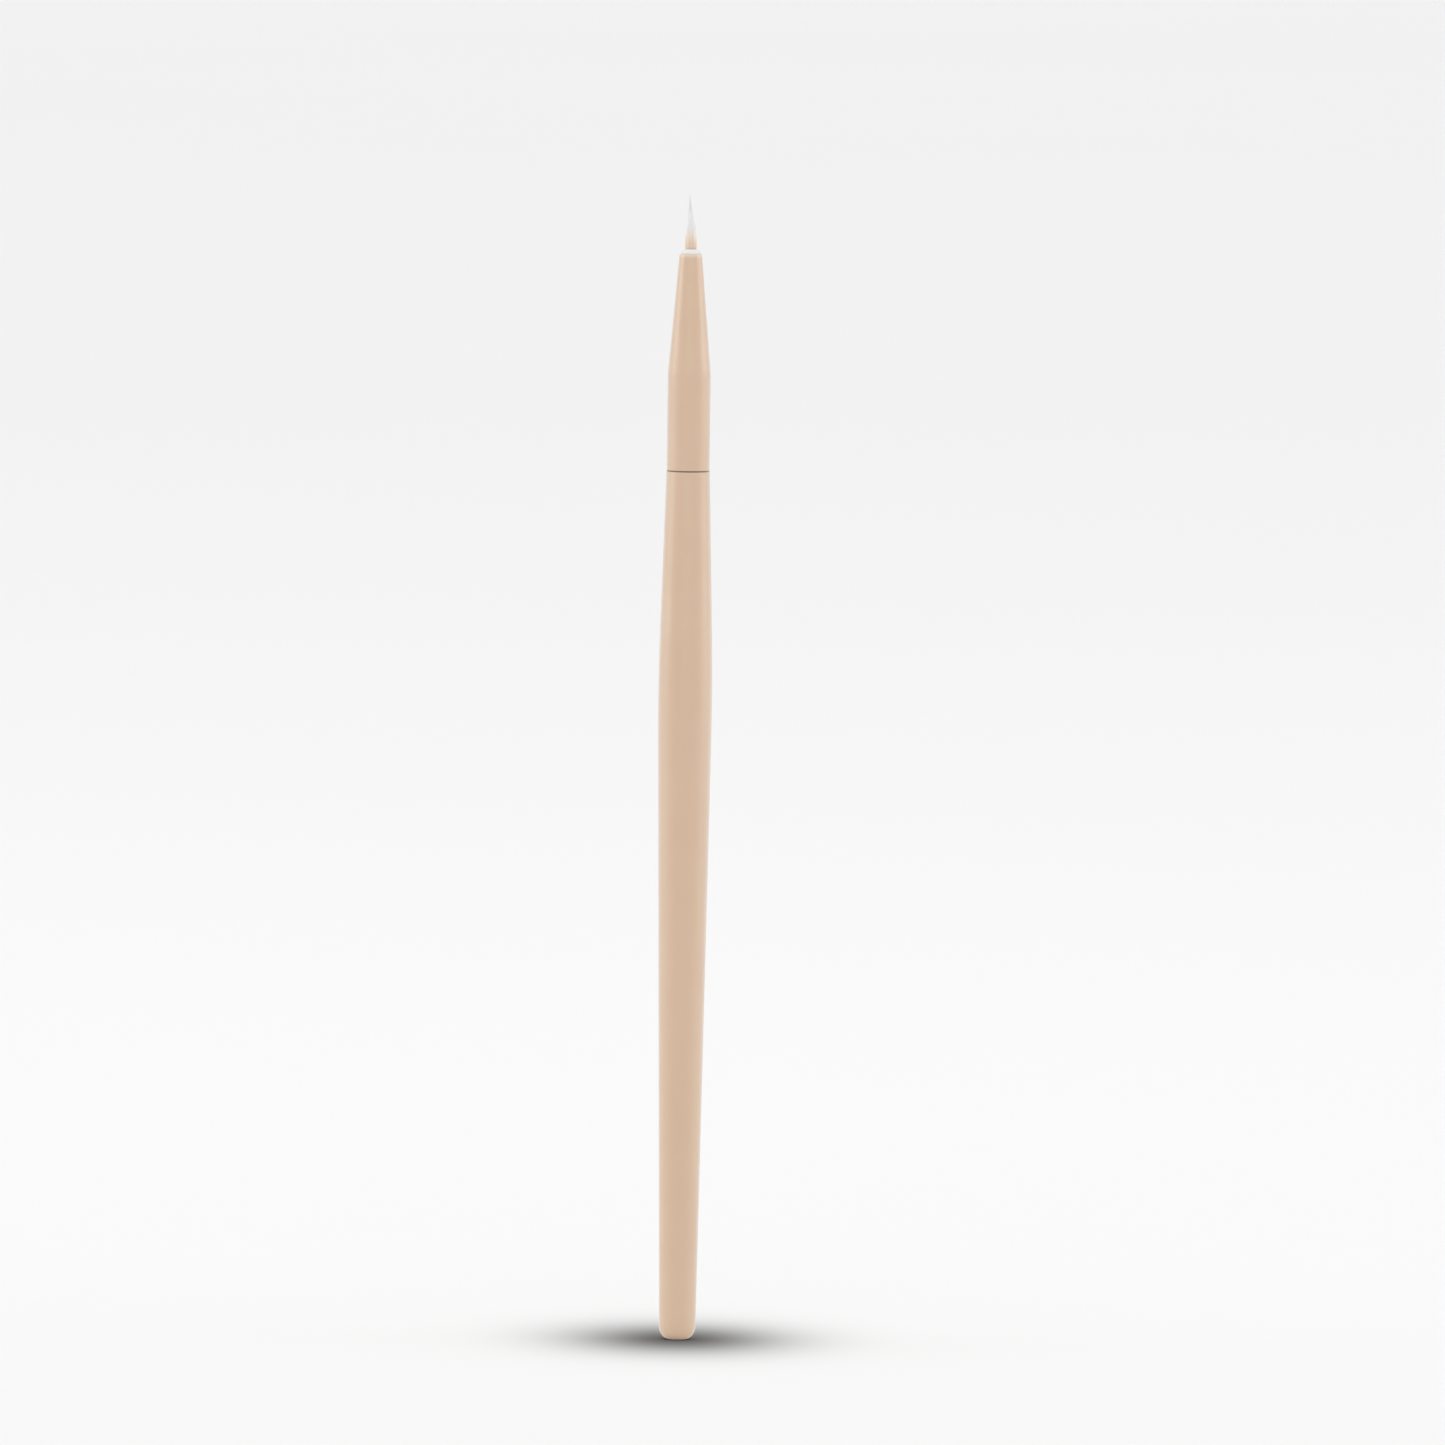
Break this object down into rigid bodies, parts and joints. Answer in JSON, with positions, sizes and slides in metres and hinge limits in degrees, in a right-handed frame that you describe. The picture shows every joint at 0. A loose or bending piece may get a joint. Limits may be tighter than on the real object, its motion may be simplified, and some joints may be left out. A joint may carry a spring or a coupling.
{
  "type": "eyeliner brush",
  "caption": "Slim round make-up brush with a tapered lacquered handle, a matching swaged ferrule and a fine pointed tuft for drawing eyeliner.",
  "frame": {"origin": "middle of the flat butt of the handle", "axes": "+Z along the brush's own axis, from the butt to the tip; the tip leans slightly to -X"},
  "size_m": [0.0078, 0.0078, 0.168],
  "materials": {
    "handle_lacquer": "turned wood under a smooth satin nude lacquer",
    "ferrule_lacquer": "drawn aluminium under the same satin nude lacquer",
    "white_moulding": "smooth white moulded plastic",
    "filament": "fine synthetic filaments, tan at the root and white to the tip",
    "thread": "waxed binding thread",
    "epoxy": "cured clear amber epoxy"
  },
  "bodies": {
    "root": {"handle": "handle_lacquer", "ferrule": "ferrule_lacquer", "nose_collar": "white_moulding", "tuft": "filament", "binding_thread": "thread", "root_glue": "epoxy", "tenon_glue": "epoxy"}
  },
  "joints": []
}
